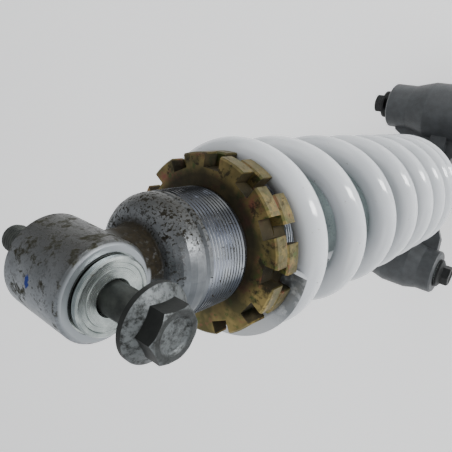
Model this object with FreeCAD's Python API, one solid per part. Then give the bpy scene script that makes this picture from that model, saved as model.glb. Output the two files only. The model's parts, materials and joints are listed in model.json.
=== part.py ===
import FreeCAD
import Part
import math
import os

# Rear shock absorber of a motorcycle, with the linkage arm still bolted to its lower fork.
# Millimetres. The origin is the centre of the upper eye. +Z runs up the damper's axis and +X
# along the eye bolt towards its head, so damper, spring and arm hang down along -Z.
# Depths named *_AT are distances down from the eye centre, so a depth d lies at z = -d.

V = FreeCAD.Vector
ORIGIN = V(0, 0, 0)
X = V(1, 0, 0)
Y = V(0, 1, 0)
Z = V(0, 0, 1)

# Upper eye and its bonded rubber bush: halves are measured from the eye's own middle, which
# stands a little to -X of the damper's axis
EYE_OFFSET = -1.75
EYE_R = 15.25
EYE_HALF = 14.25
EYE_BEVEL = 1.2
BUSH_R = 12.25
BUSH_SHELL = 1.05
BUSH_HALF = 13.75
SLEEVE_R = 8.2
SLEEVE_BORE_R = 6.3
SLEEVE_HALF = 15.15
RUBBER_HALF = 12.75
RUBBER_DISH = 2.0
CAP_FLANGE_R = 11.75
CAP_FACE = 17.25
CAP_SPIGOT = 8.0
TURN_GAP = 0.02

# Flange bolts and nuts, M10 throughout, their threads plain at the pitch diameter
BOLT_R = 5.0
BOLT_HOLE_R = 5.15
BOLT_FLANGE_R = 11.0
BOLT_FLANGE = 1.6
HEX_ACROSS = 14.0
HEAD_HEIGHT = 9.0
HEAD_DISH = 0.8
HEX_CORNER_CUT = 0.9
FLANGE_SKIRT = 2.2
BOLT_CHAMFER = 0.9
THREAD_R = 4.6
THREAD_STEP = 0.4
EYE_BOLT_LENGTH = 70.0
EYE_BOLT_DRAWN = 15.0
EYE_BOLT_THREAD = 18.0
CLEVIS_BOLT_LENGTH = 55.0
CLEVIS_BOLT_THREAD = 18.0

# Damper body: neck, rounded shoulder, plain collar, threaded length and plain tube
NECK_R = 12.4
NECK_FILLET = 2.4
SHOULDER_AT = 19.5
SHOULDER_ROUND = 8.6
BODY_R = 22.0
COLLAR_R = 22.3
COLLAR_END_AT = 29.4
THREAD_START_AT = 30.6
THREAD_RELIEF = 0.9
THREAD_END_AT = 92.0
TUBE_R = 21.2
TUBE_END_AT = 184.0
BORE_R = 18.0
BORE_TOP_AT = 25.0
BORE_CONE = 4.0

# Slotted ring nuts that carry and lock the spring
RING_R = 34.4
RING_THICK = 6.8
LOCK_RING_AT = 50.2
RING_GAP = 0.3
RING_CHAMFER = 0.7
RING_FIT = 0.05
SLOT_COUNT = 12
SLOT_WIDTH = 7.0
SLOT_DEPTH = 5.4
LOCK_SLOT_TURN = -2.0
ADJUSTER_SLOT_TURN = -8.0

# Spring: progressive wire with both ends closed and ground flat. GROUND_BIAS is how far inside
# the ground faces the wire's centre starts, and below zero it starts outside them.
WIRE_R = 6.25
COIL_R = 33.4
SPRING_TOP_AT = LOCK_RING_AT + 2 * RING_THICK + RING_GAP
SPRING_END_AT = 258.0
SPRING_TURNS = 8.0
SPRING_START_ANGLE = -0.08
CLOSED_PITCH = 2 * WIRE_R + 0.65
CLOSED_TURNS = 1.0
RAMP_TURNS = 0.25
LAST_TO_FIRST_PITCH = 0.5
GROUND_BIAS = -3.0

# Rod, piston and valving
ROD_R = 7.0
ROD_FIT = 0.05
ROD_END_AT = 282.0
STEM_R = 5.0
STEM_SHOULDER_AT = 152.0
STEM_TIP_AT = 118.0
PISTON_R = 17.7
PISTON_AT = 133.0
PISTON_LENGTH = 14.0
BAND_R = 17.97
BAND_HALF = 4.0
BAND_DEPTH = 1.5
PORT_COUNT = 6
PORT_R = 2.2
PORT_CIRCLE_R = 11.0
SHIM_COUNT = 4
SHIM_THICK = 0.75
SHIM_R = 14.4
SHIM_STEP = 1.6
WASHER_THICK = 2.0
NUT_HEIGHT = 7.5
NUT_ACROSS = 17.0
TOPOUT_R = 12.5
SLIDING_R = 17.97

# Floating piston that parts the oil from the gas
FLOATER_AT = 46.0
FLOATER_LENGTH = 12.0
FLOATER_WALL = 3.0
RING_SECTION = 2.4
RING_GROOVE = 2.6

# Seal head at the foot of the tube
GUIDE_AT = 162.0
GUIDE_END_AT = 178.0
GUIDE_BUSH_R = 8.4
GUIDE_BUSH_END_AT = 171.0
OIL_SEAL_R = 12.0
OIL_SEAL_AT = 172.6
CIRCLIP_THICK = 1.5
CIRCLIP_R = 18.9
CIRCLIP_INNER_R = 15.4
CAP_AT = 181.0
CAP_END_AT = 187.5
CAP_R = 21.8
WIPER_R = 10.0
WIPER_AT = 183.0

# Lower spring seat, its clip, bump stop and cup
BUMP_AT = 243.0
BUMP_WAISTS = [(10.5, 0.0), (12.5, 3.5), (10.8, 6.5), (13.8, 10.5), (12.2, 13.0)]
BUMP_FOOT_R = 13.8
BUMP_CUP_AT = 260.0
BUMP_CUP_R = 15.6
BUMP_CUP_WALL = 1.4
BUMP_CUP_LIP = 2.5
CLIP_AT = 262.5
CLEVIS_TOP_AT = 265.5
SEAT_R = 36.5
SEAT_SPIGOT_R = 26.5
SEAT_SPIGOT_AT = 251.0
SEAT_BORE_R = 22.5
CLIP_R = 25.0

# Rod-end fork
CLEVIS_TOP_R = 20.0
CLEVIS_NECK_R = 13.0
CLEVIS_SKIRT_AT = 270.5
FORK_HALF = 21.0
FORK_GAP_HALF = 12.9
FORK_HIGH = 15.0
FORK_END_R = 16.0
FORK_WAIST_AT = 283.0
FORK_SHOULDER_AT = 299.0
FORK_FLOOR_AT = 305.0

# Cast linkage arm: three parallel pivots, as (y, depth)
SHOCK_PIVOT = (0.0, 335.0)
UPPER_PIVOT = (57.0, 337.0)
LOWER_PIVOT = (-66.0, 310.0)
SHOCK_BOSS = {"half": 12.4, "end_r": 14.5, "mid_r": 14.5}
UPPER_BOSS = {"half": 46.0, "end_r": 17.8, "mid_r": 22.0}
LOWER_BOSS = {"half": 30.0, "end_r": 17.4, "mid_r": 20.0}
BOSS_CHAMFER = 1.2
BEARING_R = 11.5
BEARING_WALL = 2.5
BEARING_LENGTH = 20.0
COLLAR_PROUD = 1.0
COLLAR_TURN_GAP = 0.03
SEAL_THICK = 2.2
RIB_HALF = 6.0
RIB_START_R = 8.5
RIB_END_R = 12.0
WEB_THICK = 9.0
UPPER_WEB = [(0.0, 12), (0.38, 12), (0.66, 38), (1.0, 42)]
LOWER_WEB = [(0.0, 12), (0.32, 12), (0.62, 24), (1.0, 27)]
UPPER_BOLT_LENGTH = 125.0
UPPER_BOLT_THREAD = 24.0
UPPER_BOLT_DRAWN = 4.0
LOWER_BOLT_LENGTH = 78.0
LOWER_BOLT_THREAD = 20.0


def face_of(points):
    """Flat face inside a closed line of points."""
    return Part.Face(Part.makePolygon(points + points[:1]))


def turned(profile):
    """Solid of revolution about Z from (radius, depth) pairs."""
    outline = [V(radius, 0, -depth) for radius, depth in profile]
    return face_of(outline).revolve(ORIGIN, Z, 360)


def ring(outer, inner, top, bottom):
    """Plain ring about Z between two depths."""
    return turned([(inner, top), (outer, top), (outer, bottom), (inner, bottom)])


def turned_x(profile, pivot=(0.0, 0.0)):
    """Solid of revolution from (radius, x) pairs about a line along X through a pivot."""
    outline = [V(x, radius, 0) for radius, x in profile]
    solid = face_of(outline).revolve(ORIGIN, X, 360)
    solid.translate(V(0, pivot[0], -pivot[1]))
    return solid


def bar_x(radius, start, end, pivot=(0.0, 0.0)):
    """Round bar along X through a pivot."""
    return Part.makeCylinder(radius, end - start, V(start, pivot[0], -pivot[1]), X)


def tube_x(outer, inner, start, end, pivot=(0.0, 0.0)):
    """Plain tube along X through a pivot."""
    return bar_x(outer, start, end, pivot).cut(bar_x(inner, start - 1, end + 1, pivot))


def arc_profile(centre, radius, start_deg, end_deg, steps):
    """Points of a round stretch of a profile."""
    points = []
    for k in range(steps + 1):
        angle = math.radians(start_deg + (end_deg - start_deg) * k / steps)
        points.append((centre[0] + radius * math.cos(angle), centre[1] + radius * math.sin(angle)))
    return points


def hexagon(across, bottom, top):
    """Hexagonal prism about Z, flat to flat size given, corners turned off at the top."""
    corner = across / math.sqrt(3)
    corners = [
        V(corner * math.cos(math.radians(60 * k)), corner * math.sin(math.radians(60 * k)), bottom)
        for k in range(6)
    ]
    prism = face_of(corners).extrude(V(0, 0, top - bottom))
    height = top - bottom
    cone = Part.makeCone(corner + height, corner - HEX_CORNER_CUT, height, V(0, 0, bottom))
    return prism.common(cone)


def flange_bolt(length, threaded):
    """Flange bolt along Z: seat at z = 0, head above, shank and slimmer thread below."""
    shank = turned([
        (0, 0),
        (BOLT_R, 0),
        (BOLT_R, length - threaded - THREAD_STEP),
        (THREAD_R, length - threaded),
        (THREAD_R, length - BOLT_CHAMFER),
        (THREAD_R - BOLT_CHAMFER, length),
        (0, length),
    ])
    flange = Part.makeCylinder(BOLT_FLANGE_R, BOLT_FLANGE)
    skirt = Part.makeCone(BOLT_FLANGE_R, HEX_ACROSS / 2, FLANGE_SKIRT, V(0, 0, BOLT_FLANGE))
    head = hexagon(HEX_ACROSS, BOLT_FLANGE, HEAD_HEIGHT)
    dish = Part.makeCone(
        HEX_ACROSS / 2 - 2.6, HEX_ACROSS / 2 - 1.6, HEAD_DISH, V(0, 0, HEAD_HEIGHT - HEAD_DISH)
    )
    return shank.fuse([flange, skirt, head]).cut(dish).removeSplitter()


def flange_nut():
    """Flange nut along Z: seat at z = 0, hexagon above."""
    flange = Part.makeCylinder(BOLT_FLANGE_R, BOLT_FLANGE)
    skirt = Part.makeCone(BOLT_FLANGE_R, HEX_ACROSS / 2, FLANGE_SKIRT, V(0, 0, BOLT_FLANGE))
    body = hexagon(HEX_ACROSS, BOLT_FLANGE, HEAD_HEIGHT)
    bore = Part.makeCylinder(THREAD_R, HEAD_HEIGHT + 2, V(0, 0, -1))
    return flange.fuse([skirt, body]).cut(bore).removeSplitter()


def to_x(shape, x, pivot=(0.0, 0.0), towards=1):
    """Lay a part made along +Z so that it points along +X or -X, its seat at x."""
    shape.rotate(ORIGIN, Y, 90 * towards)
    shape.translate(V(x, pivot[0], -pivot[1]))
    return shape


def damper_body():
    """Eye, neck, shoulder, threaded length and tube: one forging and tube."""
    shoulder_r = COLLAR_R - SHOULDER_ROUND
    outside = [(0, 4), (NECK_R, 4)]
    outside += [(NECK_R, SHOULDER_AT - NECK_FILLET), (NECK_R + 0.7, SHOULDER_AT - 0.7)]
    outside += [(shoulder_r, SHOULDER_AT)]
    outside += arc_profile(
        (shoulder_r, SHOULDER_AT + SHOULDER_ROUND), SHOULDER_ROUND, -75, 0, 5
    )
    outside += [
        (COLLAR_R, COLLAR_END_AT),
        (BODY_R - THREAD_RELIEF, COLLAR_END_AT + 0.4),
        (BODY_R - THREAD_RELIEF, THREAD_START_AT),
        (BODY_R, THREAD_START_AT + THREAD_RELIEF),
        (BODY_R, THREAD_END_AT),
        (TUBE_R, THREAD_END_AT + 0.8),
        (TUBE_R, TUBE_END_AT),
    ]
    inside = [
        (BORE_R, TUBE_END_AT),
        (BORE_R, GUIDE_END_AT + CIRCLIP_THICK + 0.1),
        (CIRCLIP_R + 0.1, GUIDE_END_AT + CIRCLIP_THICK + 0.1),
        (CIRCLIP_R + 0.1, GUIDE_END_AT),
        (BORE_R, GUIDE_END_AT),
        (BORE_R, BORE_TOP_AT + BORE_CONE),
        (BORE_R - BORE_CONE, BORE_TOP_AT),
        (0, BORE_TOP_AT),
    ]
    tube = turned(outside + inside)
    eye = turned_x([
        (0, -EYE_HALF),
        (EYE_R - EYE_BEVEL, -EYE_HALF),
        (EYE_R, EYE_BEVEL - EYE_HALF),
        (EYE_R, EYE_HALF - EYE_BEVEL),
        (EYE_R - EYE_BEVEL, EYE_HALF),
        (0, EYE_HALF),
    ])
    eye.translate(V(EYE_OFFSET, 0, 0))
    return tube.fuse(eye).cut(bar_x(BUSH_R, -30, 30)).removeSplitter()


def eye_bush():
    """Pressed-in shell, rubber ring, inner sleeve and the two flanged end caps."""
    shell = tube_x(BUSH_R, BUSH_R - BUSH_SHELL, -BUSH_HALF, BUSH_HALF)
    rubber_out = BUSH_R - BUSH_SHELL
    rubber_in = SLEEVE_R + TURN_GAP
    rubber_mid = (rubber_out + rubber_in) / 2
    rubber = turned_x([
        (rubber_in, -RUBBER_HALF),
        (rubber_mid, RUBBER_DISH - RUBBER_HALF),
        (rubber_out, -RUBBER_HALF),
        (rubber_out, RUBBER_HALF),
        (rubber_mid, RUBBER_HALF - RUBBER_DISH),
        (rubber_in, RUBBER_HALF),
    ])
    sleeve = tube_x(SLEEVE_R, SLEEVE_BORE_R, -SLEEVE_HALF, SLEEVE_HALF)
    cap = turned_x([
        (BOLT_HOLE_R, SLEEVE_HALF - CAP_SPIGOT),
        (SLEEVE_BORE_R, SLEEVE_HALF - CAP_SPIGOT),
        (SLEEVE_BORE_R, SLEEVE_HALF),
        (CAP_FLANGE_R, SLEEVE_HALF),
        (CAP_FLANGE_R, CAP_FACE - 0.5),
        (CAP_FLANGE_R - 0.5, CAP_FACE),
        (CAP_FLANGE_R - 1.5, CAP_FACE),
        (CAP_FLANGE_R - 1.8, CAP_FACE - 0.4),
        (SLEEVE_R + 0.5, CAP_FACE - 0.4),
        (SLEEVE_R + 0.3, CAP_FACE - 0.1),
        (BOLT_HOLE_R + 0.6, CAP_FACE - 0.1),
        (BOLT_HOLE_R, CAP_FACE - 0.7),
    ])
    caps = Part.makeCompound([cap, cap.mirror(ORIGIN, X)])
    fittings = [shell, rubber, sleeve, caps]
    for fitting in fittings:
        fitting.translate(V(EYE_OFFSET, 0, 0))
    return fittings


def ring_nut(top, slot_turn):
    """Ring nut with square spanner slots round its rim."""
    bottom = top + RING_THICK
    bore = BODY_R + RING_FIT
    blank = turned([
        (bore, top),
        (RING_R - RING_CHAMFER, top),
        (RING_R, top + RING_CHAMFER),
        (RING_R, bottom - RING_CHAMFER),
        (RING_R - RING_CHAMFER, bottom),
        (bore, bottom),
    ])
    cutters = []
    for k in range(SLOT_COUNT):
        corner = V(RING_R - SLOT_DEPTH, -SLOT_WIDTH / 2, -bottom - 1)
        cutter = Part.makeBox(2 * SLOT_DEPTH, SLOT_WIDTH, RING_THICK + 2, corner)
        cutter.rotate(ORIGIN, Z, slot_turn + 360 * k / SLOT_COUNT)
        cutters.append(cutter)
    return blank.cut(cutters)


def pitch_stations(first_pitch):
    """Pitch along the wire as (turns, millimetres a turn), straight lines between stations."""
    last = SPRING_TURNS
    return [
        (0.0, CLOSED_PITCH),
        (CLOSED_TURNS, CLOSED_PITCH),
        (CLOSED_TURNS + RAMP_TURNS, first_pitch),
        (last - CLOSED_TURNS - RAMP_TURNS, first_pitch * LAST_TO_FIRST_PITCH),
        (last - CLOSED_TURNS, CLOSED_PITCH),
        (last, CLOSED_PITCH),
    ]


def rise_and_pitch(turns, first_pitch):
    """Height gained after some turns, and the pitch there."""
    height = 0.0
    stations = pitch_stations(first_pitch)
    pitch = stations[0][1]
    for (u0, p0), (u1, p1) in zip(stations, stations[1:]):
        u = min(turns, u1)
        if u <= u0:
            break
        pitch = p0 + (p1 - p0) * (u - u0) / (u1 - u0)
        height += (u - u0) * (p0 + pitch) / 2
    return height, pitch


def spring_first_pitch():
    """First open pitch that makes the wire fill the length between its ground ends."""
    wanted = SPRING_END_AT - SPRING_TOP_AT - 2 * GROUND_BIAS
    without = rise_and_pitch(SPRING_TURNS, 0.0)[0]
    per_unit = rise_and_pitch(SPRING_TURNS, 1.0)[0] - without
    return (wanted - without) / per_unit


def wire_point(turns, first_pitch):
    """Centre of the wire and its unit tangent after some turns from the upper tip."""
    height, pitch = rise_and_pitch(turns, first_pitch)
    angle = SPRING_START_ANGLE - 2 * math.pi * turns
    depth = SPRING_TOP_AT + GROUND_BIAS + height
    point = V(COIL_R * math.cos(angle), COIL_R * math.sin(angle), -depth)
    tangent = V(2 * math.pi * COIL_R * math.sin(angle), -2 * math.pi * COIL_R * math.cos(angle), -pitch)
    return point, tangent.normalize()


def arc_from_corner(start, corner, end):
    """Arc tangent to both legs of a corner whose legs are equal."""
    middle = (start + end) * 0.5
    to_corner = corner - middle
    half_chord = (end - start).Length / 2
    turn = math.atan2(to_corner.Length, half_chord)
    crown = middle + to_corner.normalize() * (half_chord * math.tan(turn / 2))
    return Part.Arc(start, crown, end).toShape()


def biarc(start, start_dir, end, end_dir):
    """Two arcs that join two points with given directions."""
    chord = end - start
    both = start_dir + end_dir
    spread = 2 * (1 - start_dir.dot(end_dir))
    along = chord.dot(both)
    leg = (math.sqrt(along * along + spread * chord.dot(chord)) - along) / spread
    first_corner = start + start_dir * leg
    second_corner = end - end_dir * leg
    joint = (first_corner + second_corner) * 0.5
    return [
        arc_from_corner(start, first_corner, joint),
        arc_from_corner(joint, second_corner, end),
    ]


def spring():
    """One unbroken wire with closed, flat-ground ends."""
    first_pitch = spring_first_pitch()
    knots = [wire_point(k / 4, first_pitch) for k in range(int(4 * SPRING_TURNS) + 1)]
    arcs = []
    for (start, start_dir), (end, end_dir) in zip(knots, knots[1:]):
        arcs += biarc(start, start_dir, end, end_dir)
    path = Part.Wire(arcs)
    section = Part.Wire(Part.makeCircle(WIRE_R, knots[0][0], knots[0][1]))
    wire = path.makePipeShell([section], True, False)
    wheel_r = COIL_R + 3 * WIRE_R
    wheel_thick = 4 * WIRE_R
    above = Part.makeCylinder(wheel_r, wheel_thick, V(0, 0, -SPRING_TOP_AT))
    below = Part.makeCylinder(wheel_r, wheel_thick, V(0, 0, -SPRING_END_AT - wheel_thick))
    ground = wire.cut(above).cut(below)
    print("spring first pitch", round(first_pitch, 2), "wire length", round(path.Length, 1))
    print("spring least gap to itself", round(spring_gap(first_pitch), 3))
    return ground.Solids[0]


def spring_gap(first_pitch):
    """Least clear gap between turns, measured on points along the wire."""
    per_turn = 60
    points = [
        wire_point(k / per_turn, first_pitch)[0] for k in range(int(per_turn * SPRING_TURNS) + 1)
    ]
    least = 1e9
    for i, here in enumerate(points):
        for there in points[i + per_turn // 2:]:
            least = min(least, here.distanceToPoint(there))
    return least - 2 * WIRE_R


def damper_rod():
    """Hard-plated rod with the turned-down stem that carries the piston."""
    return turned([
        (0, STEM_TIP_AT),
        (STEM_R - 0.8, STEM_TIP_AT),
        (STEM_R, STEM_TIP_AT + 0.8),
        (STEM_R, STEM_SHOULDER_AT),
        (ROD_R, STEM_SHOULDER_AT),
        (ROD_R, ROD_END_AT),
        (0, ROD_END_AT),
    ])


def piston():
    """Valved piston with a ring of ports and a groove for its band."""
    top = PISTON_AT
    bottom = PISTON_AT + PISTON_LENGTH
    middle = (top + bottom) / 2
    groove_r = BAND_R - BAND_DEPTH
    blank = turned([
        (STEM_R, top),
        (PISTON_R - 0.8, top),
        (PISTON_R, top + 0.8),
        (PISTON_R, middle - BAND_HALF),
        (groove_r, middle - BAND_HALF),
        (groove_r, middle + BAND_HALF),
        (PISTON_R, middle + BAND_HALF),
        (PISTON_R, bottom - 0.8),
        (PISTON_R - 0.8, bottom),
        (STEM_R, bottom),
    ])
    ports = []
    for k in range(PORT_COUNT):
        port = Part.makeCylinder(PORT_R, PISTON_LENGTH + 2, V(PORT_CIRCLE_R, 0, -bottom - 1))
        port.rotate(ORIGIN, Z, 360 * k / PORT_COUNT)
        ports.append(port)
    band = ring(BAND_R, groove_r, middle - BAND_HALF, middle + BAND_HALF)
    return blank.cut(ports), band


def shim_stack(face, away):
    """Thin discs that shrink away from the piston's face."""
    discs = []
    for k in range(SHIM_COUNT):
        near = face + away * k * SHIM_THICK
        far = near + away * SHIM_THICK
        discs.append(ring(SHIM_R - k * SHIM_STEP, STEM_R, min(near, far), max(near, far)))
    return Part.makeCompound(discs)


def valving():
    """Shims, washers and nut on both sides of the piston, and the top-out rubber."""
    stack = SHIM_COUNT * SHIM_THICK
    top_face = PISTON_AT
    bottom_face = PISTON_AT + PISTON_LENGTH
    compression = shim_stack(top_face, -1)
    rebound = shim_stack(bottom_face, 1)
    upper_washer_at = top_face - stack - WASHER_THICK
    washers = Part.makeCompound([
        ring(SHIM_R - SHIM_COUNT * SHIM_STEP, STEM_R, upper_washer_at, top_face - stack),
        ring(TOPOUT_R, STEM_R, bottom_face + stack, STEM_SHOULDER_AT),
    ])
    nut = hexagon(NUT_ACROSS, -upper_washer_at, NUT_HEIGHT - upper_washer_at)
    nut = nut.cut(Part.makeCylinder(STEM_R, 60, V(0, 0, -upper_washer_at - 20)))
    topout = turned([
        (ROD_R, STEM_SHOULDER_AT),
        (TOPOUT_R, STEM_SHOULDER_AT),
        (TOPOUT_R, STEM_SHOULDER_AT + 3),
        (TOPOUT_R - 1.4, STEM_SHOULDER_AT + 5),
        (TOPOUT_R, STEM_SHOULDER_AT + 7),
        (TOPOUT_R, GUIDE_AT - 0.1),
        (ROD_R, GUIDE_AT - 0.1),
    ])
    return compression, rebound, washers, nut, topout


def floating_piston():
    """Cup-shaped divider, its hollow towards the gas, and its sealing ring."""
    top = FLOATER_AT
    bottom = FLOATER_AT + FLOATER_LENGTH
    groove_r = SLIDING_R - RING_SECTION
    groove_at = bottom - 3.4 - RING_GROOVE
    cup = turned([
        (0, bottom),
        (SLIDING_R - 0.6, bottom),
        (SLIDING_R, bottom - 0.6),
        (SLIDING_R, groove_at + RING_GROOVE),
        (groove_r, groove_at + RING_GROOVE),
        (groove_r, groove_at),
        (SLIDING_R, groove_at),
        (SLIDING_R, top),
        (SLIDING_R - FLOATER_WALL, top),
        (groove_r - FLOATER_WALL, bottom - FLOATER_WALL),
        (0, bottom - FLOATER_WALL),
    ])
    seal = sealing_ring(SLIDING_R, groove_at + RING_GROOVE / 2)
    return cup, seal


def sealing_ring(outer, middle):
    """Round-section rubber ring whose outside just meets a bore."""
    return Part.makeTorus(outer - RING_SECTION / 2, RING_SECTION / 2, V(0, 0, -middle), Z)


def seal_head():
    """Rod guide, its bush and outer ring, oil seal, circlip, end cap and dust wiper."""
    slide = ROD_R + ROD_FIT
    groove_at = GUIDE_AT + 6.0
    groove_r = SLIDING_R - RING_SECTION
    guide = turned([
        (slide + 0.2, GUIDE_AT),
        (SLIDING_R - 0.8, GUIDE_AT),
        (SLIDING_R, GUIDE_AT + 0.8),
        (SLIDING_R, groove_at),
        (groove_r, groove_at),
        (groove_r, groove_at + RING_GROOVE),
        (SLIDING_R, groove_at + RING_GROOVE),
        (SLIDING_R, GUIDE_END_AT),
        (OIL_SEAL_R, GUIDE_END_AT),
        (OIL_SEAL_R, OIL_SEAL_AT - 0.1),
        (slide + 0.2, OIL_SEAL_AT - 0.1),
        (slide + 0.2, GUIDE_BUSH_END_AT),
        (GUIDE_BUSH_R, GUIDE_BUSH_END_AT),
        (GUIDE_BUSH_R, GUIDE_AT + 1.5),
        (slide + 0.2, GUIDE_AT + 1.5),
    ])
    outer_ring = sealing_ring(SLIDING_R, groove_at + RING_GROOVE / 2)
    bush = ring(GUIDE_BUSH_R, slide, GUIDE_AT + 1.5, GUIDE_BUSH_END_AT)
    seal = turned([
        (slide, OIL_SEAL_AT),
        (OIL_SEAL_R, OIL_SEAL_AT),
        (OIL_SEAL_R, GUIDE_END_AT),
        (slide + 1.6, GUIDE_END_AT),
        (slide, GUIDE_END_AT - 1.2),
    ])
    circlip_at = GUIDE_END_AT + 0.05
    circlip = ring(CIRCLIP_R, CIRCLIP_INNER_R, circlip_at, circlip_at + CIRCLIP_THICK)
    gap = Part.makeBox(12, 9, 20, V(10, -4.5, -circlip_at - 10))
    circlip = circlip.cut(gap)
    cap = turned([
        (slide + 1.0, CAP_AT),
        (BORE_R - 0.05, CAP_AT),
        (BORE_R - 0.05, TUBE_END_AT),
        (CAP_R, TUBE_END_AT),
        (CAP_R, CAP_END_AT - 1),
        (CAP_R - 1, CAP_END_AT),
        (WIPER_R, CAP_END_AT),
        (WIPER_R, WIPER_AT),
        (slide + 1.0, WIPER_AT),
    ])
    wiper = turned([
        (slide, WIPER_AT),
        (WIPER_R, WIPER_AT),
        (WIPER_R, CAP_END_AT),
        (slide + 1.2, CAP_END_AT),
        (slide, CAP_END_AT - 1),
    ])
    return guide, outer_ring, bush, seal, circlip, cap, wiper


def bump_stop():
    """Waisted foam stop and the cup that it stands in."""
    inner = ROD_R + 0.2
    waists = [(radius, BUMP_AT + along) for radius, along in BUMP_WAISTS]
    foot = [(BUMP_FOOT_R, BUMP_CUP_AT), (inner, BUMP_CUP_AT)]
    stop = turned([(inner, BUMP_AT)] + waists + foot)
    cup = turned([
        (inner, BUMP_CUP_AT),
        (BUMP_CUP_R - BUMP_CUP_WALL, BUMP_CUP_AT),
        (BUMP_CUP_R - BUMP_CUP_WALL, BUMP_CUP_AT - BUMP_CUP_LIP),
        (BUMP_CUP_R, BUMP_CUP_AT - BUMP_CUP_LIP),
        (BUMP_CUP_R, CLIP_AT),
        (inner, CLIP_AT),
    ])
    return stop, cup


def lower_seat():
    """Dished spring seat and the slotted clip that holds it on the fork's shoulder."""
    seat = turned([
        (SEAT_BORE_R, SEAT_SPIGOT_AT),
        (SEAT_SPIGOT_R - 2, SEAT_SPIGOT_AT),
        (SEAT_SPIGOT_R, SEAT_SPIGOT_AT + 2.5),
        (SEAT_SPIGOT_R, SPRING_END_AT),
        (SEAT_R, SPRING_END_AT),
        (SEAT_R, SPRING_END_AT + 3),
        (SEAT_R - 1.5, CLIP_AT),
        (CLIP_R + 4.0, CLEVIS_TOP_AT),
        (CLIP_R, CLEVIS_TOP_AT),
        (CLIP_R, CLIP_AT),
        (SEAT_BORE_R, CLIP_AT),
    ])
    slot_half = ROD_R + 0.3
    clip = ring(CLIP_R, slot_half, CLIP_AT, CLEVIS_TOP_AT)
    slot = Part.makeBox(2 * slot_half, CLIP_R + 5, 10, V(-slot_half, 0, -CLEVIS_TOP_AT - 3))
    return seat, clip.cut(slot)


def clevis():
    """Forged fork at the foot of the rod."""
    head = turned([
        (ROD_R, CLEVIS_TOP_AT),
        (CLEVIS_TOP_R - 1, CLEVIS_TOP_AT),
        (CLEVIS_TOP_R, CLEVIS_TOP_AT + 1),
        (CLEVIS_TOP_R, CLEVIS_SKIRT_AT - 1),
        (CLEVIS_TOP_R - 1.5, CLEVIS_SKIRT_AT),
        (CLEVIS_NECK_R + 2, CLEVIS_SKIRT_AT + 1),
        (CLEVIS_NECK_R, CLEVIS_SKIRT_AT + 4),
        (CLEVIS_NECK_R, FORK_FLOOR_AT - 4),
        (0, FORK_FLOOR_AT - 4),
        (0, ROD_END_AT),
        (ROD_R, ROD_END_AT),
    ])
    pivot_y, pivot_at = SHOCK_PIVOT
    end_at = pivot_at + FORK_END_R
    front = [
        (CLEVIS_NECK_R - 1, FORK_WAIST_AT),
        (FORK_HALF, FORK_SHOULDER_AT),
        (FORK_HALF, end_at),
        (FORK_GAP_HALF, end_at),
        (FORK_GAP_HALF, FORK_FLOOR_AT + 3),
        (FORK_GAP_HALF - 3, FORK_FLOOR_AT),
    ]
    mirrored = [(-x, depth) for x, depth in reversed(front)]
    fork = face_of([V(x, -FORK_HIGH - 2, -depth) for x, depth in front + mirrored])
    fork = fork.extrude(V(0, 2 * FORK_HIGH + 4, 0))
    side = [(1 - CLEVIS_NECK_R, FORK_WAIST_AT), (-FORK_HIGH, FORK_SHOULDER_AT)]
    side += arc_profile((pivot_y, pivot_at), FORK_END_R, 180, 0, 12)
    side += [(FORK_HIGH, FORK_SHOULDER_AT), (CLEVIS_NECK_R - 1, FORK_WAIST_AT)]
    flank = face_of([V(-FORK_HALF - 1, y, -depth) for y, depth in side])
    flank = flank.extrude(V(2 * FORK_HALF + 2, 0, 0))
    forged = head.fuse(fork.common(flank))
    return forged.cut(bar_x(BOLT_HOLE_R, -40, 40, SHOCK_PIVOT)).removeSplitter()


def boss(pivot, size):
    """Pivot boss that swells towards its middle."""
    half, end_r, mid_r = size["half"], size["end_r"], size["mid_r"]
    shoulder = half * 0.62
    swell = half * 0.3
    return turned_x([
        (0, -half),
        (end_r - BOSS_CHAMFER, -half),
        (end_r, BOSS_CHAMFER - half),
        (end_r, -shoulder),
        (mid_r, -swell),
        (mid_r, swell),
        (end_r, shoulder),
        (end_r, half - BOSS_CHAMFER),
        (end_r - BOSS_CHAMFER, half),
        (0, half),
    ], pivot)


def rib(pivot_a, pivot_b):
    """Upright rib between two pivots."""
    ya, da = pivot_a
    yb, db = pivot_b
    run = math.hypot(yb - ya, db - da)
    ny = -(db - da) / run
    nd = (yb - ya) / run
    corners = [
        (ya + ny * RIB_START_R, da + nd * RIB_START_R),
        (yb + ny * RIB_END_R, db + nd * RIB_END_R),
        (yb - ny * RIB_END_R, db - nd * RIB_END_R),
        (ya - ny * RIB_START_R, da - nd * RIB_START_R),
    ]
    return face_of([V(-RIB_HALF, y, -d) for y, d in corners]).extrude(V(2 * RIB_HALF, 0, 0))


def web(pivot_a, pivot_b, outline):
    """Flat web from one pivot towards another: outline is (share of the way, half width)."""
    start = V(0, pivot_a[0], -pivot_a[1])
    end = V(0, pivot_b[0], -pivot_b[1])
    way = end - start
    normal = way.cross(X).normalize()
    one_side = [start + way * share + X * half for share, half in outline]
    other = [start + way * share - X * half for share, half in reversed(outline)]
    flat = face_of([point - normal * (WEB_THICK / 2) for point in one_side + other])
    return flat.extrude(normal * WEB_THICK)


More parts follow.
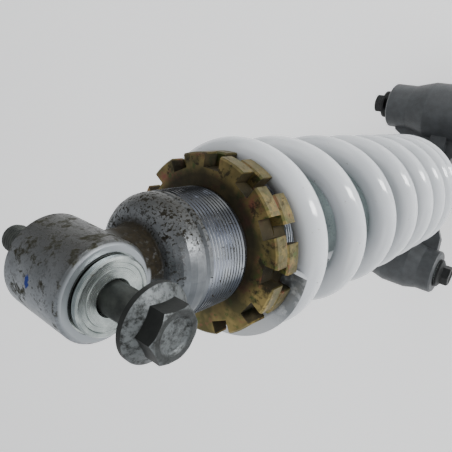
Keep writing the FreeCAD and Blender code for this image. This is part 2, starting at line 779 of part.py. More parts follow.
def linkage_arm():
    """Cast arm: bosses joined by a flat web and an upright rib, like an I-beam."""
    pieces = [
        boss(UPPER_PIVOT, UPPER_BOSS),
        boss(LOWER_PIVOT, LOWER_BOSS),
        rib(SHOCK_PIVOT, UPPER_PIVOT),
        rib(SHOCK_PIVOT, LOWER_PIVOT),
        web(SHOCK_PIVOT, UPPER_PIVOT, UPPER_WEB),
        web(SHOCK_PIVOT, LOWER_PIVOT, LOWER_WEB),
    ]
    casting = boss(SHOCK_PIVOT, SHOCK_BOSS).fuse(pieces)
    bores = [
        bar_x(BEARING_R, -60, 60, UPPER_PIVOT),
        bar_x(BEARING_R, -60, 60, LOWER_PIVOT),
        bar_x(BEARING_R, -60, 60, SHOCK_PIVOT),
    ]
    return casting.cut(bores).removeSplitter()


def pivot_fittings(pivot, half, collar_half):
    """Needle bearings, inner collar and the two end seals of one pivot."""
    race_in = BEARING_R - BEARING_WALL
    seal_at = half - SEAL_THICK
    if half > BEARING_LENGTH:
        right = tube_x(BEARING_R, race_in, seal_at - BEARING_LENGTH, seal_at, pivot)
        bearings = Part.makeCompound([right, right.mirror(ORIGIN, X)])
    else:
        bearings = tube_x(BEARING_R, race_in, -seal_at, seal_at, pivot)
    collar = tube_x(race_in - COLLAR_TURN_GAP, BOLT_HOLE_R, -collar_half, collar_half, pivot)
    seal = tube_x(BEARING_R, race_in, seal_at, half, pivot)
    seals = Part.makeCompound([seal, seal.mirror(ORIGIN, X)])
    return bearings, collar, seals


def build():
    """Make every piece, keyed by its node name."""
    nodes = {"damper_body": damper_body()}
    names = ["eye_bush_shell", "eye_bush_rubber", "eye_inner_sleeve", "eye_bush_caps"]
    nodes.update(zip(names, eye_bush()))
    eye_bolt_seat = CAP_FACE + EYE_OFFSET + EYE_BOLT_DRAWN
    nodes["eye_bolt"] = to_x(flange_bolt(EYE_BOLT_LENGTH, EYE_BOLT_THREAD), eye_bolt_seat)
    nodes["lock_ring"] = ring_nut(LOCK_RING_AT, LOCK_SLOT_TURN)
    nodes["adjuster_ring"] = ring_nut(LOCK_RING_AT + RING_THICK + RING_GAP, ADJUSTER_SLOT_TURN)
    nodes["spring"] = spring()
    names = ["rod_guide", "guide_o_ring", "guide_bush", "oil_seal", "guide_circlip", "end_cap"]
    nodes.update(zip(names + ["dust_wiper"], seal_head()))
    nodes.update(zip(["floating_piston", "floating_piston_o_ring"], floating_piston()))
    nodes["damper_rod"] = damper_rod()
    nodes.update(zip(["piston", "piston_band"], piston()))
    names = ["compression_shims", "rebound_shims", "shim_washers", "piston_nut", "topout_rubber"]
    nodes.update(zip(names, valving()))
    nodes.update(zip(["bump_stop", "bump_stop_cup"], bump_stop()))
    nodes.update(zip(["spring_seat", "seat_clip"], lower_seat()))
    nodes["clevis"] = clevis()
    clevis_bolt = flange_bolt(CLEVIS_BOLT_LENGTH, CLEVIS_BOLT_THREAD)
    nodes["clevis_bolt"] = to_x(clevis_bolt, FORK_HALF, SHOCK_PIVOT)
    nodes["clevis_nut"] = to_x(flange_nut(), -FORK_HALF, SHOCK_PIVOT, -1)
    nodes["linkage_arm"] = linkage_arm()
    for place, pivot, size, proud in (
        ("shock", SHOCK_PIVOT, SHOCK_BOSS, FORK_GAP_HALF - SHOCK_BOSS["half"]),
        ("upper", UPPER_PIVOT, UPPER_BOSS, COLLAR_PROUD),
        ("lower", LOWER_PIVOT, LOWER_BOSS, COLLAR_PROUD),
    ):
        half = size["half"]
        bearings, collar, seals = pivot_fittings(pivot, half, half + proud)
        nodes[place + "_bearings"] = bearings
        nodes[place + "_collar"] = collar
        nodes[place + "_seals"] = seals
    upper_seat = -(UPPER_BOSS["half"] + COLLAR_PROUD + UPPER_BOLT_DRAWN)
    lower_seat_x = LOWER_BOSS["half"] + COLLAR_PROUD
    upper_bolt = flange_bolt(UPPER_BOLT_LENGTH, UPPER_BOLT_THREAD)
    lower_bolt = flange_bolt(LOWER_BOLT_LENGTH, LOWER_BOLT_THREAD)
    nodes["upper_bolt"] = to_x(upper_bolt, upper_seat, UPPER_PIVOT, -1)
    nodes["lower_bolt"] = to_x(lower_bolt, lower_seat_x, LOWER_PIVOT)
    nodes["lower_nut"] = to_x(flange_nut(), -lower_seat_x, LOWER_PIVOT, -1)
    return nodes


os.makedirs("parts", exist_ok=True)
for name, shape in build().items():
    if not shape.isValid():
        print("not valid:", name)
    print(name, len(shape.Solids), "solids", round(shape.Volume / 1000, 2), "cm3")
    shape.exportStep("parts/" + name + ".step")
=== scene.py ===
# %% [markdown]
# Rear shock absorber of a motorcycle. A imported model brings every rigid piece at its true size and
# place, in metres, with the origin in the upper eye and the damper hanging down along -Z. This
# lesson gives those pieces their finishes, and makes what a solid model leaves out: the rolled
# threads and a spring copied as one smoothly shaded surface. Nothing that comes with the model is moved.

# %% Load the frame
import json
import math

import bmesh
import bpy
from mathutils import Matrix, Vector


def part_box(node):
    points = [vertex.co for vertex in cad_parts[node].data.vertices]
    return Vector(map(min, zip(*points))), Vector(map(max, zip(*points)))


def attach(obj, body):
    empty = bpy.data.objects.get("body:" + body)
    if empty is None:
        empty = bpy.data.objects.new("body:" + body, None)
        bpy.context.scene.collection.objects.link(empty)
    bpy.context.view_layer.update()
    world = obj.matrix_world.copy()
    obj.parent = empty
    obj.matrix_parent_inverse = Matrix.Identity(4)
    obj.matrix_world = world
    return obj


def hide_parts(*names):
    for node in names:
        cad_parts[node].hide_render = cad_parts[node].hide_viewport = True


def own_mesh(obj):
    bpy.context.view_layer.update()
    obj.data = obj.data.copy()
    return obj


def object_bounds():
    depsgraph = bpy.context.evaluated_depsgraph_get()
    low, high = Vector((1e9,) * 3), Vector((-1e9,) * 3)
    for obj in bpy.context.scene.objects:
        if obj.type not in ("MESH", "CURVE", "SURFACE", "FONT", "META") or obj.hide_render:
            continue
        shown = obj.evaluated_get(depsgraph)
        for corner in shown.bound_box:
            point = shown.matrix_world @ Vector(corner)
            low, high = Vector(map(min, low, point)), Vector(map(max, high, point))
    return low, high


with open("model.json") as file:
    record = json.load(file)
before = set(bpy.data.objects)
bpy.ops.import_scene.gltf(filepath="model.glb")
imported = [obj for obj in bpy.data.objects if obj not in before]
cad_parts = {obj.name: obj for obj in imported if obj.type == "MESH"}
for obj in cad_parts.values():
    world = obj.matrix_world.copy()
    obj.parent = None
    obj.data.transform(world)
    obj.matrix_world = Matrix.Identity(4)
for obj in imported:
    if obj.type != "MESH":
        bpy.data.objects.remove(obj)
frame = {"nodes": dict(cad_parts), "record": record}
cad_low, cad_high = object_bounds()
slot_of = {row["node"]: row["material_slot"] for row in frame["record"]["subparts"]}
print("nodes", len(frame["nodes"]), "box", [round(v, 4) for v in (*cad_low, *cad_high)])

# %% [markdown]
# The camera comes first, because everything is judged through it. A camera is a place and two
# directions: what points right in the picture and what points up. Their cross product points
# back towards the viewer. The damper's axis runs away from the lens, so the eye looms large
# and the far castings shrink, which only a near, fairly wide lens does.

# %% Camera
CAMERA_PLACE = Vector((0.1043, 0.0592, 0.0706))
CAMERA_RIGHT = Vector((0.76061, 0.1256, -0.63695)).normalized()
CAMERA_UP = Vector((-0.28698, 0.9451, -0.15639)).normalized()
CAMERA_BACK = CAMERA_RIGHT.cross(CAMERA_UP)
SENSOR_MM = 36.0
LENS_MM = 36.39
NEAR_CLIP = 0.005

camera_data = bpy.data.cameras.new("camera")
camera_data.sensor_width = SENSOR_MM
camera_data.lens = LENS_MM
camera_data.clip_start = NEAR_CLIP
camera = bpy.data.objects.new("camera", camera_data)
bpy.context.scene.collection.objects.link(camera)
turn = Matrix((CAMERA_RIGHT, CAMERA_UP, CAMERA_BACK)).transposed().to_4x4()
camera.matrix_world = Matrix.Translation(CAMERA_PLACE) @ turn
bpy.context.scene.camera = camera
print("lens", LENS_MM, "mm")

# %% [markdown]
# Finishes are built from nodes. One helper adds a node with its settings and feeds its inputs with
# numbers or other nodes. Another starts a material, with the shader and the object's own
# coordinates, which are metres, so a texture's scale is a thousand over a size in millimetres.

# %% Node helpers
MIX_FACTOR, MIX_FROM, MIX_TO, MIX_RESULT = 0, 6, 7, 2


def hex_to_linear(code):
    """Linear colour, with full alpha, from an sRGB hex code."""
    channels = [int(code[i:i + 2], 16) / 255 for i in (0, 2, 4)]
    return [c / 12.92 if c <= 0.04045 else ((c + 0.055) / 1.055) ** 2.4 for c in channels] + [1.0]


def add(tree, kind, inputs=None, **settings):
    """Add one shader node with its settings, its inputs given as values or links."""
    made = tree.nodes.new("ShaderNode" + kind)
    for option, value in settings.items():
        setattr(made, option, value)
    for socket, value in (inputs or {}).items():
        if isinstance(value, bpy.types.NodeSocket):
            tree.links.new(value, made.inputs[socket])
        else:
            made.inputs[socket].default_value = value
    return made


def start_material(name):
    """A material with its tree, its shader and its texture coordinates."""
    material = bpy.data.materials.new(name)
    material.use_nodes = True
    tree = material.node_tree
    return material, tree, tree.nodes["Principled BSDF"], add(tree, "TexCoord")


def per_metre(millimetres):
    """Texture scale whose features are this many millimetres across."""
    return 1000.0 / millimetres


def patches(tree, place, size_mm, low, high, detail=4.0, rough=0.6):
    """Irregular patches of a real size: 0 below low, 1 above high."""
    noise = add(tree, "TexNoise", {
        "Vector": place, "Scale": per_metre(size_mm), "Detail": detail, "Roughness": rough,
    })
    return ramp(tree, noise.outputs[0], low, high)


def blended(tree, factor, first, second):
    """Colour that goes from first to second, each a hex code or a socket."""
    ends = [hex_to_linear(c) if isinstance(c, str) else c for c in (first, second)]
    mix = add(tree, "Mix", {MIX_FACTOR: factor, MIX_FROM: ends[0], MIX_TO: ends[1]}, data_type="RGBA")
    return mix.outputs[MIX_RESULT]


def math_of(tree, operation, first, second=0.0):
    """One sum on one or two values."""
    return add(tree, "Math", {0: first, 1: second}, operation=operation).outputs[0]


def product(tree, first, second):
    """Two masks multiplied."""
    return math_of(tree, "MULTIPLY", first, second)


def ramp(tree, value, start, end, low=0.0, high=1.0):
    """Value that goes from low to high as the input goes from start to end."""
    return add(tree, "MapRange", {
        "Value": value, "From Min": start, "From Max": end, "To Min": low, "To Max": high,
    }).outputs[0]


def between(tree, value, start, full, fall, end):
    """Mask that rises from start to full and falls from fall to end."""
    return product(tree, ramp(tree, value, start, full), ramp(tree, value, end, fall))


def parts_of(tree, vector):
    """The three parts of a vector."""
    return add(tree, "SeparateXYZ", {0: vector}).outputs


def distance_from(tree, place, centre, scale=(1.0, 1.0, 1.0)):
    """Distance from a point, each direction stretched by its own scale."""
    offset = add(tree, "VectorMath", {0: place, 1: centre}, operation="SUBTRACT").outputs[0]
    stretched = add(tree, "VectorMath", {0: offset, 1: scale}, operation="MULTIPLY").outputs[0]
    return add(tree, "VectorMath", {0: stretched}, operation="LENGTH").outputs["Value"]


def relief(tree, shader, height, depth_mm, strength=1.0):
    """Surface relief from a mask, with its real depth."""
    bump = add(tree, "Bump", {"Height": height, "Distance": depth_mm / 1000.0, "Strength": strength})
    tree.links.new(bump.outputs["Normal"], shader.inputs["Normal"])


print("helpers ready")

# %% [markdown]
# Bare metal shows its surroundings more than its own colour, so the light is part of its look.
# A narrow tall panel at the viewer's right draws the bright streaks down the threads and coils,
# and two weaker ones fill from above and below. The world is pale, but it grows dim towards +Y,
# the side that is up in the picture, so the tops of round metal turn grey and show their form.

# %% Light
STAGE_CENTRE = Vector((0.0, 0.0, -0.12))
WORLD_BRIGHT = 1.0
WORLD_DIM = 0.32
PANELS = [
    ("key", (0.85, 0.30, 0.50), 0.9, 0.20, 0.8, 13.0),
    ("top", (-0.30, 0.85, 0.50), 1.0, 0.8, 0.8, 2.5),
    ("low", (0.10, -0.80, 0.60), 1.1, 0.8, 0.5, 1.5),
]

for name, (right, up, back), distance, width, height, watts in PANELS:
    panel = bpy.data.lights.new(name, "AREA")
    panel.shape = "RECTANGLE"
    panel.size = width
    panel.size_y = height
    panel.energy = watts
    lamp = bpy.data.objects.new(name, panel)
    bpy.context.scene.collection.objects.link(lamp)
    way = (CAMERA_RIGHT * right + CAMERA_UP * up + CAMERA_BACK * back).normalized()
    lamp.location = STAGE_CENTRE + way * distance
    lamp.rotation_mode = "QUATERNION"
    lamp.rotation_quaternion = way.to_track_quat("Z", "Y")

world = bpy.data.worlds.new("studio")
bpy.context.scene.world = world
world.use_nodes = True
sky = world.node_tree
background = sky.nodes["Background"]
background.inputs["Color"].default_value = hex_to_linear("f2f4f6")
upward = parts_of(sky, add(sky, "TexCoord").outputs["Generated"])["Y"]
sky.links.new(ramp(sky, upward, -0.1, 0.9, WORLD_BRIGHT, WORLD_DIM), background.inputs["Strength"])
print("panels", len(PANELS))

# %% [markdown]
# The damper's eye, shoulder and threaded tube are steel, forged and turned, then zinc plated. Years
# of road dirt have pitted the plating: olive-brown blotches a few millimetres wide, fine dark
# specks, and rust in the corner at the neck where water stands. The turned collar stayed clean,
# and the eye has a dab of blue paint. Faces that turn towards +Y, up in the picture, are darkened
# brown-grey, partly grime and partly painted shade. Below the eye, a band down one side is painted
# shade, a dark reflection band. Each of these is a mask by depth, by noise or by the way the
# surface faces, laid over two tones of zinc. Marks that the lathe leaves are about 0.2 mm apart,
# too fine to show, so they are drawn at 0.6 mm.

# %% Weathered zinc plate
EYE_MIDDLE_X = -0.00175
EYE_FACE = (0.0141, 0.0135)
EYE_LOW_Z = (-0.0158, -0.0150)
NECK_R = (0.0165, 0.0135)
NECK_Z = (-0.0215, -0.0190, -0.0120, -0.0085)
COLLAR_Z = (-0.0520, -0.0310, -0.0232, -0.0222)
TUBE_Z = (-0.0930, -0.0960)
# Normal Y range of the upper faces, which get grime and painted shade.
SHADE_AND_GRIME_SIDE = (-0.30, 0.90)
# Normal Y range of a band down one side that is painted shade, a dark reflection band.
SHADE_BAND_SIDE = (0.12, -0.18, -0.65, -0.90)
PAINT_DAB = (-0.0025, 0.0019, 0.0151)
PAINT_DAB_SCALE = (900.0, 530.0, 300.0)


def weathered_zinc():
    """Zinc plate on turned steel with blotches, specks, neck rust, a clean collar, upper faces darkened
    by grime and painted shade, and a painted shade band.
    """
    material, tree, shader, coords = start_material("zinc_plate_weathered")
    place = coords.outputs["Object"]
    axes = parts_of(tree, place)
    depth = axes["Z"]
    sideways = parts_of(tree, coords.outputs["Normal"])["Y"]
    # Faces turned towards +Y, up in the picture: a mask for grime and for painted shade.
    shade_and_grime = ramp(tree, sideways, *SHADE_AND_GRIME_SIDE)
    tone = blended(tree, patches(tree, place, 9.0, 0.35, 0.65), "73787d", "9da1a6")
    # These upper faces are darkened brown-grey: painted shade, with some grime.
    tone = blended(tree, product(tree, shade_and_grime, 0.9), tone, "312f28")
    from_middle = math_of(tree, "ABSOLUTE", math_of(tree, "SUBTRACT", axes["X"], EYE_MIDDLE_X))
    on_eye = ramp(tree, depth, *EYE_LOW_Z)
    turned_face = product(tree, ramp(tree, from_middle, EYE_FACE[1], EYE_FACE[0]), on_eye)
    clean_collar = product(tree, between(tree, depth, *COLLAR_Z), ramp(tree, shade_and_grime, 0.75, 0.45))
    clean = math_of(tree, "MAXIMUM", clean_collar, turned_face)
    dirty = ramp(tree, clean, 0.0, 1.0, 1.0, 0.0)
    mottle = ramp(tree, patches(tree, place, 1.1, 0.35, 0.60), 0.0, 1.0, 0.35, 1.0)
    blotch = product(tree, patches(tree, place, 5.0, 0.53, 0.58, 7.0, 0.62), mottle)
    blotch = product(tree, product(tree, blotch, on_eye), dirty)
    fine = patches(tree, place, 0.9, 0.54, 0.60, 3.0)
    coarse = patches(tree, place, 2.2, 0.575, 0.61, 6.0)
    speckle = math_of(tree, "MAXIMUM", fine, coarse)
    crowded = math_of(tree, "ADD", shade_and_grime, patches(tree, place, 12.0, 0.4, 0.6))
    where = ramp(tree, crowded, 0.2, 1.1, 0.25, 1.0)
    sparse_on_eye = ramp(tree, on_eye, 0.0, 1.0, 1.0, 0.35)
    specks = product(tree, product(tree, speckle, where), product(tree, dirty, sparse_on_eye))
    axis_distance = distance_from(tree, place, (0.0, 0.0, 0.0), (1.0, 1.0, 0.0))
    corner = product(tree, between(tree, depth, *NECK_Z), ramp(tree, axis_distance, *NECK_R))
    rust = product(tree, corner, patches(tree, place, 2.0, 0.26, 0.46, 8.0, 0.7))
    rust = product(tree, rust, dirty)
    lathe = patches(tree, add(tree, "CombineXYZ", {2: depth}).outputs[0], 0.6, 0.35, 0.65, 2.0)
    tone = blended(tree, product(tree, lathe, 0.25), tone, "5d6062")
    colour = blended(tree, blotch, tone, "2b2a1b")
    colour = blended(tree, specks, colour, "201d12")
    colour = blended(tree, rust, colour, blended(tree, mottle, "0f0d09", "2b2517"))
    colour = blended(tree, turned_face, colour, "979ca0")
    below_eye = ramp(tree, on_eye, 0.0, 1.0, 0.75, 0.0)
    # Below the eye, a band down one side is painted dark: painted shade, a dark reflection band on the
    # round tube.
    shade_band = product(tree, between(tree, sideways, *SHADE_BAND_SIDE), below_eye)
    colour = blended(tree, shade_band, colour, "43484c")
    colour = blended(tree, ramp(tree, depth, *TUBE_Z), colour, "5f6a6a")
    ragged = product(tree, patches(tree, place, 0.8, 0.3, 0.7), 0.6)
    dab = math_of(tree, "ADD", distance_from(tree, place, PAINT_DAB, PAINT_DAB_SCALE), ragged)
    dab = ramp(tree, dab, 1.35, 1.15)
    tree.links.new(blended(tree, dab, colour, "24377c"), shader.inputs["Base Color"])
    dirt = blotch
    for mask in (rust, specks, dab):
        dirt = math_of(tree, "MAXIMUM", dirt, mask)
    tree.links.new(ramp(tree, dirt, 0.0, 1.0, 0.85, 0.55), shader.inputs["Metallic"])
    tree.links.new(ramp(tree, dirt, 0.0, 1.0, 0.38, 0.85), shader.inputs["Roughness"])
    relief(tree, shader, dirt, 0.10, 0.6)
    return material


# %% [markdown]
# A rolled thread is burnished by the die, so it is the brightest steel on the part, with a
# slight blue cast where the clear passivate is thick. On faces that turn towards +Y it is darkened
# in patches, partly grime and partly painted shade, and the body's painted shade band runs on over
# it. Its turns are real ridges, made further down.

# %% Rolled thread
# Normal Y range where the thread is darkened with grime and painted shade.
THREAD_SHADE_AND_GRIME = (0.30, 0.80)


def rolled_thread():
    """Bright burnished steel under clear passivate, its upper faces darkened by grime and painted shade.
    """
    material, tree, shader, coords = start_material("rolled_thread_bright")
    place = coords.outputs["Object"]
    tint = blended(tree, patches(tree, place, 15.0, 0.40, 0.62, 2.0), "b1b5b9", "989fae")
    sideways = parts_of(tree, coords.outputs["Normal"])["Y"]
    # Patches on faces turned towards +Y are darkened: partly grime, partly painted shade.
    film_and_shade = product(tree, ramp(tree, sideways, *THREAD_SHADE_AND_GRIME), patches(tree, place, 5.0, 0.10, 0.40, 5.0))
    tint = blended(tree, film_and_shade, tint, "15140f")
    # The painted shade band runs on over the thread, darker still.
    tint = blended(tree, product(tree, between(tree, sideways, *SHADE_BAND_SIDE), 0.9), tint, "25292e")
    specks = patches(tree, place, 1.8, 0.64, 0.67, 3.0)
    tree.links.new(blended(tree, specks, tint, "2f2a20"), shader.inputs["Base Color"])
    shader.inputs["Metallic"].default_value = 0.95
    tree.links.new(ramp(tree, specks, 0.0, 1.0, 0.22, 0.7), shader.inputs["Roughness"])
    return material


# %% [markdown]
# Sleeves, caps and collars are turned from bar and left bright. The tool leaves rings round the
# axis that it turned about, here X, so the ring pattern reads the distance from that axis. Real
# rings are about 0.15 mm apart, too fine to show, so they are drawn at 0.45 mm.

# %% Turned steel
def turned_steel():
    """Bright turned steel with fine rings about the X axis."""
    material, tree, shader, coords = start_material("turned_steel_bright")
    place = coords.outputs["Object"]
    radius = distance_from(tree, place, (0.0, 0.0, 0.0), (0.0, 1.0, 1.0))
    line = add(tree, "CombineXYZ", {0: radius, 1: parts_of(tree, place)["X"]}).outputs[0]
    rings = patches(tree, line, 0.45, 0.35, 0.65, 1.0)
    tone = blended(tree, patches(tree, place, 7.0, 0.35, 0.65), "868e8d", "b3bab7")
    stain = patches(tree, place, 3.0, 0.64, 0.72, 5.0)
    tree.links.new(blended(tree, stain, tone, "77756a"), shader.inputs["Base Color"])
    shader.inputs["Metallic"].default_value = 0.9
    tree.links.new(ramp(tree, rings, 0.0, 1.0, 0.20, 0.32), shader.inputs["Roughness"])
    relief(tree, shader, rings, 0.01, 0.5)
    return material


# %% [markdown]
# The eye bolt is a forged flange bolt whose dark zinc has scuffed pale wherever a socket or a lug
# rubbed it: on the faces that look out along the bolt. Its flats and shank are still dark, and
# so is the raised rim of the head's face. The object's own normal tells flats from faces, and
# the distance from the bolt's axis finds the rim.

# %% Scuffed bolt
BOLT_HEAD_X = (0.0290, 0.0300)
HEAD_RIM_R = (0.0048, 0.0054, 0.0066, 0.0074)


def scuffed_bolt():
    """Dark plated bolt, its head scuffed on the faces that look along its axis."""
    material, tree, shader, coords = start_material("dark_zinc_bolt")
    place = coords.outputs["Object"]
    outward = ramp(tree, parts_of(tree, coords.outputs["Normal"])["X"], 0.35, 0.75)
    on_head = ramp(tree, parts_of(tree, place)["X"], *BOLT_HEAD_X)
    radius = distance_from(tree, place, (0.0, 0.0, 0.0), (0.0, 1.0, 1.0))
    dirty_rim = between(tree, radius, *HEAD_RIM_R)
    worn = product(tree, outward, patches(tree, place, 2.5, 0.38, 0.55, 7.0, 0.75))
    worn = product(tree, product(tree, worn, on_head), ramp(tree, dirty_rim, 0.0, 1.0, 1.0, 0.25))
    tone = blended(tree, patches(tree, place, 4.0, 0.35, 0.7, 5.0), "282b29", "464945")
    tone = blended(tree, product(tree, on_head, 0.8), tone, "161817")
    tree.links.new(blended(tree, worn, tone, "5c6061"), shader.inputs["Base Color"])
    shader.inputs["Metallic"].default_value = 0.6
    tree.links.new(ramp(tree, worn, 0.0, 1.0, 0.55, 0.48), shader.inputs["Roughness"])
    relief(tree, shader, patches(tree, place, 1.2, 0.3, 0.7, 4.0), 0.05, 0.5)
    return material


# %% [markdown]
# The ring nuts are steel in yellow chromate, which shimmers from olive through gold to pink where
# the film is thin. Grease and brake dust have browned the face near the thread, and spanners have
# rubbed the rim down to tan steel. Distance from the damper's axis places the dirt and the wear.
# The walls of the slots and the bore are darkened as painted shade, and the face is made darker
# towards +Y, the top in the picture, and lighter towards -Y.

# %% Yellow chromate
RIM_WEAR_R = (0.0338, 0.0343)
# Radius inside which the slot walls and the bore get painted shade.
SLOT_SHADE_R = (0.0341, 0.0336)
# Ranges of Y over which the face is made darker towards +Y and lighter towards -Y.
GRIME_R = (0.0295, 0.0240)
DARKER_TOP_Y = (-0.0050, 0.0300)
LIGHTER_LOW_Y = (-0.0280, -0.0080)


def yellow_chromate():
    """Yellow chromate over zinc: shimmering face, dirty near the bore, painted shade in the slots and
    bore, darker towards +Y, worn rim.
    """
    material, tree, shader, coords = start_material("yellow_chromate_zinc")
    place = coords.outputs["Object"]
    radius = distance_from(tree, place, (0.0, 0.0, 0.0), (1.0, 1.0, 0.0))
    colour = blended(tree, patches(tree, place, 12.0, 0.42, 0.60, 3.0), "554e28", "8f7d49")
    colour = blended(tree, patches(tree, place, 8.0, 0.55, 0.66, 5.0), colour, "87523f")
    colour = blended(tree, patches(tree, place, 5.0, 0.56, 0.66, 4.0), colour, "4c5a28")
    face_on = math_of(tree, "ABSOLUTE", parts_of(tree, coords.outputs["Normal"])["Z"])
    # Slot walls and the bore are darkened here: painted shade in these recesses.
    slot_shade = product(tree, ramp(tree, face_on, 0.6, 0.4), ramp(tree, radius, *SLOT_SHADE_R))
    side = parts_of(tree, place)["Y"]
    soot = patches(tree, place, 3.5, 0.48, 0.62, 8.0, 0.72)
    # Towards -Y, the bottom in the picture, soot and grime are thinned, so the face is lighter there.
    soot = product(tree, soot, ramp(tree, side, *LIGHTER_LOW_Y))
    grime = product(tree, ramp(tree, radius, *GRIME_R), ramp(tree, side, *LIGHTER_LOW_Y, 0.4, 1.0))
    # The face is made darker towards +Y, the top in the picture.
    darker_top = ramp(tree, side, *DARKER_TOP_Y, 0.0, 0.5)
    dirt = math_of(tree, "MAXIMUM", math_of(tree, "ADD", grime, darker_top), soot)
    # This darkening mixes dirt, the darker top and the painted shade in the slots and bore.
    dirt = product(tree, math_of(tree, "MINIMUM", math_of(tree, "MAXIMUM", dirt, slot_shade), 1.0), 0.88)
    colour = blended(tree, dirt, colour, "1d1910")
    rim = ramp(tree, radius, *RIM_WEAR_R)
    worn = product(tree, rim, patches(tree, place, 2.2, 0.42, 0.56, 6.0))
    tree.links.new(blended(tree, worn, colour, "565033"), shader.inputs["Base Color"])
    shader.inputs["Metallic"].default_value = 0.55
    tree.links.new(ramp(tree, dirt, 0.0, 1.0, 0.42, 0.75), shader.inputs["Roughness"])
    relief(tree, shader, soot, 0.08, 0.5)
    return material


# %% [markdown]
# The spring is powder coated: thick glossy white with a few stone chips, under a faint orange peel.
# Its ends were ground flat before coating, and the coat has rubbed off round the thin tip, where
# the coil moves most on its seat. The mask asks for a flat face at the end, near that tip.

# %% White powder coat
SPRING_LOW, SPRING_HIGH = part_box("spring")
GROUND_BAND = 0.0006
TIP = (0.0334, -0.0027, SPRING_HIGH.z)
TIP_WEAR_R = (0.0230, 0.0150)


def powder_coat():
    """Glossy white powder coat, rubbed bare at the ground tip."""
    material, tree, shader, coords = start_material("white_powder_coat")
    place = coords.outputs["Object"]
    facing = math_of(tree, "ABSOLUTE", parts_of(tree, coords.outputs["Normal"])["Z"])
    depth = parts_of(tree, place)["Z"]
    end = ramp(tree, depth, SPRING_HIGH.z - GROUND_BAND, SPRING_HIGH.z - GROUND_BAND / 2)
    near_tip = ramp(tree, distance_from(tree, place, TIP), *TIP_WEAR_R)
    rubbed = product(tree, near_tip, patches(tree, place, 4.0, 0.30, 0.50, 5.0))
    ground = product(tree, product(tree, ramp(tree, facing, 0.97, 0.99), end), rubbed)
    tone = blended(tree, patches(tree, place, 40.0, 0.35, 0.65, 2.0), "bcc0c4", "cccfd2")
    chips = patches(tree, place, 2.2, 0.715, 0.735, 3.0)
    colour = blended(tree, chips, tone, "77756b")
    tree.links.new(blended(tree, ground, colour, "83878a"), shader.inputs["Base Color"])
    tree.links.new(ramp(tree, ground, 0.0, 1.0, 0.0, 0.8), shader.inputs["Metallic"])
    tree.links.new(ramp(tree, ground, 0.0, 1.0, 0.16, 0.45), shader.inputs["Roughness"])
    shader.inputs["Coat Weight"].default_value = 0.6
    shader.inputs["Coat Roughness"].default_value = 0.05
    relief(tree, shader, patches(tree, place, 1.8, 0.3, 0.7, 1.0), 0.004, 0.3)
    return material


# %% [markdown]
# The remaining finishes share one recipe: two tones in patches of a real size, a roughness range
# and a fine relief. Paint on a casting keeps the sand's grain, foam has pores, chrome hardly any.

# %% Plain finishes
def plain_finish(name, dark, light, metallic, rough, grain_mm, depth_mm):
    """Two tones in patches, with roughness and relief of one grain."""
    material, tree, shader, coords = start_material(name)
    place = coords.outputs["Object"]
    tones = patches(tree, place, 6 * grain_mm, 0.35, 0.65)
    grain = patches(tree, place, grain_mm, 0.3, 0.7)
    tree.links.new(blended(tree, tones, dark, light), shader.inputs["Base Color"])
    shader.inputs["Metallic"].default_value = metallic
    tree.links.new(ramp(tree, grain, 0.0, 1.0, *rough), shader.inputs["Roughness"])
    relief(tree, shader, grain, depth_mm, 0.6)
    return material


FINISHES = {
    "zinc_steel": weathered_zinc(),
    "bush_steel": turned_steel(),
    "bolt_steel": scuffed_bolt(),
    "yellow_zinc": yellow_chromate(),
    "spring_enamel": powder_coat(),
    "black_steel": plain_finish("black_oxide_steel", "151616", "242525", 0.4, (0.42, 0.6), 1.0, 0.03),
    "cast_arm": plain_finish("grey_painted_casting", "393b3d", "45484a", 0.0, (0.42, 0.6), 1.2, 0.08),
    "seat_paint": plain_finish("charcoal_painted_steel", "2d2e30", "3a3b3d", 0.0, (0.3, 0.5), 1.5, 0.03),
    "hard_chrome": plain_finish("hard_chrome_ground", "b9bcc0", "c9ccd0", 1.0, (0.06, 0.12), 0.6, 0.001),
    "turned_alloy": plain_finish("turned_aluminium", "a4a6a9", "babcbf", 1.0, (0.28, 0.4), 0.8, 0.008),
    "rubber": plain_finish("moulded_rubber", "101010", "1c1b1a", 0.0, (0.6, 0.8), 0.9, 0.03),
    "foam": plain_finish("cellular_foam", "4a4435", "645c46", 0.0, (0.8, 0.95), 0.7, 0.15),
    "bronze": plain_finish("sintered_bronze", "7c6238", "97794a", 0.9, (0.35, 0.5), 0.6, 0.01),
    "spring_steel": plain_finish("spring_steel_bright", "808386", "989b9e", 1.0, (0.25, 0.4), 0.8, 0.006),
}
THREAD_FINISH = rolled_thread()

for node_name, slot in slot_of.items():
    surface = frame["nodes"][node_name].data
    surface.materials.clear()
    surface.materials.append(FINISHES[slot])
print("finishes", len(FINISHES), "on", len(slot_of), "nodes")

# %% [markdown]
# Every new piece ends the same way: its normals point outwards, edges sharper than a set angle
# stay crisp while the rest shade smoothly, and it rides on the body that carries it.

# %% Finish a piece
SHARP_EDGE = math.radians(35)


def finish_piece(bm, name, finish, body):
    """Turn a bmesh into an object that rides on a body."""
    bmesh.ops.recalc_face_normals(bm, faces=bm.faces)
    for edge in bm.edges:
        edge.smooth = edge.calc_face_angle(0.0) < SHARP_EDGE
    for face in bm.faces:
        face.smooth = True
    mesh = bpy.data.meshes.new(name)
    bm.to_mesh(mesh)
    bm.free()
    mesh.materials.append(finish)
    piece = bpy.data.objects.new(name, mesh)
    bpy.context.scene.collection.objects.link(piece)
    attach(piece, body)
    print(name, len(mesh.polygons), "faces")
    return piece


# %% [markdown]
# A thread is one ridge wound round a bar. Its section is a small trapezium, and a spin with a
# step along the axis winds it: the same tool that turns a vase makes a screw. The ridge stands on
# the plain bar of the model, sunk a little so that no gap shows. Where the ring nuts sit there
# is no ridge, because the nuts cover it.

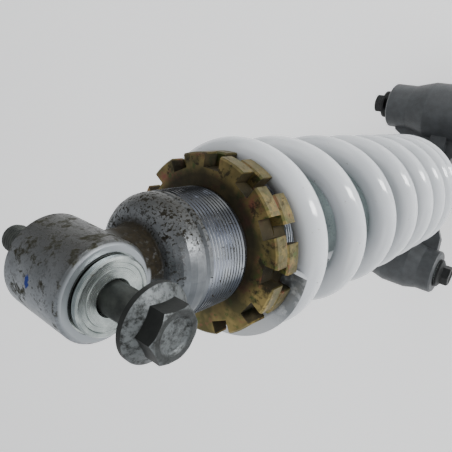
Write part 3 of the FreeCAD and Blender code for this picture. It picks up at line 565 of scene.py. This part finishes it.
# %% Threads
SUNK = 0.00005
CREST_SHARE = 0.12
BASE_SHARE = 0.46


def thread_ridge(name, finish, body, radius, height, pitch, length, steps, place):
    """Helical ridge that starts at the origin and winds down -Z, then goes to its place."""
    bm = bmesh.new()
    section = [
        (radius - SUNK, BASE_SHARE), (radius + height, CREST_SHARE),
        (radius + height, -CREST_SHARE), (radius - SUNK, -BASE_SHARE),
    ]
    start = -BASE_SHARE * pitch
    corners = [bm.verts.new((r, 0.0, start + share * pitch)) for r, share in section]
    bm.faces.new(corners)
    turns = (length - 2 * BASE_SHARE * pitch) / pitch
    count = round(turns * steps)
    bmesh.ops.spin(
        bm, geom=bm.verts[:] + bm.edges[:] + bm.faces[:], cent=(0, 0, 0), axis=(0, 0, -1),
        dvec=(0, 0, -pitch * turns / count), angle=2 * math.pi * turns, steps=count,
    )
    bmesh.ops.transform(bm, matrix=place, verts=bm.verts)
    return finish_piece(bm, name, finish, body)


BODY_R = 0.0220
BODY_PITCH = 0.0015
BODY_RIDGE = 0.00038
BODY_STEPS = 72
BODY_THREAD_Z = (-0.0316, -0.0919)
RING_GAP = 0.0001
ring_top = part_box("lock_ring")[1].z
ring_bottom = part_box("adjuster_ring")[0].z
for name, top, bottom in (
    ("body_thread_upper", BODY_THREAD_Z[0], ring_top + RING_GAP),
    ("body_thread_lower", ring_bottom - RING_GAP, BODY_THREAD_Z[1]),
):
    thread_ridge(name, THREAD_FINISH, "damper", BODY_R, BODY_RIDGE, BODY_PITCH,
                 top - bottom, BODY_STEPS, Matrix.Translation((0, 0, top)))

BOLT_R = 0.0046
BOLT_PITCH = 0.00125
BOLT_RIDGE = 0.00038
BOLT_TIP = 0.0012
BOLT_STEPS = 28
BOLT_THREADS = [
    ("eye_bolt", -1, 0.0162),
    ("upper_bolt", 1, 0.0222),
    ("lower_bolt", -1, 0.0182),
    ("clevis_bolt", -1, 0.0162),
]
bodies = frame["record"]["behaviour"]["bodies"]
for node_name, towards, length in BOLT_THREADS:
    low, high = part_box(node_name)
    middle = (low + high) / 2
    tip = low.x if towards < 0 else high.x
    body = next(b for b, members in bodies.items() if node_name in members)
    slot = slot_of[node_name]
    laid = Matrix.Rotation(math.radians(90 * towards), 4, "Y")
    spot = Vector((tip - towards * BOLT_TIP, middle.y, middle.z))
    thread_ridge(node_name + "_thread", FINISHES[slot], body, BOLT_R, BOLT_RIDGE, BOLT_PITCH,
                 length, BOLT_STEPS, Matrix.Translation(spot) @ laid)

# %% [markdown]
# The spring has to get shorter as the rod goes in, and a solid can't. Its mesh is copied, its loose
# triangles are joined along their edges so that it shades as one surface, and the copy stands
# in for the node.

# %% Spring
MERGE = 1e-6

bm = bmesh.new()
bm.from_mesh(frame["nodes"]["spring"].data)
bmesh.ops.remove_doubles(bm, verts=bm.verts, dist=MERGE)
coil = finish_piece(bm, "coil_spring", FINISHES["spring_enamel"], "damper")
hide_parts("spring")
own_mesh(coil)

# %% [markdown]
# The floor is one sheet of paper, pale and matt, a little below the lowest point of the part. It
# glows faintly, as the sheet of a light table does, which lifts the undersides of the coils.

# %% Floor
FLOOR_GLOW = 0.45
FLOOR_BELOW = 0.026
FLOOR_SIZE = 12.0
PAPER_CLOUDS_MM = 300.0
floor_finish, floor_tree, floor_shader, floor_coords = start_material("pale_paper")
paper = patches(floor_tree, floor_coords.outputs["Object"], PAPER_CLOUDS_MM, 0.3, 0.7)
floor_tree.links.new(blended(floor_tree, paper, "f4f4f4", "f8f8f8"), floor_shader.inputs["Base Color"])
floor_shader.inputs["Roughness"].default_value = 0.9
floor_shader.inputs["Emission Color"].default_value = hex_to_linear("ffffff")
floor_shader.inputs["Emission Strength"].default_value = FLOOR_GLOW
bm = bmesh.new()
bmesh.ops.create_grid(bm, x_segments=1, y_segments=1, size=FLOOR_SIZE / 2)
bmesh.ops.translate(bm, verts=bm.verts, vec=(0, 0, cad_low.z - FLOOR_BELOW))
floor_mesh = bpy.data.meshes.new("floor")
bm.to_mesh(floor_mesh)
bm.free()
floor_mesh.materials.append(floor_finish)
floor = bpy.data.objects.new("floor", floor_mesh)
bpy.context.scene.collection.objects.link(floor)
print("floor at", round(cad_low.z - FLOOR_BELOW, 4))
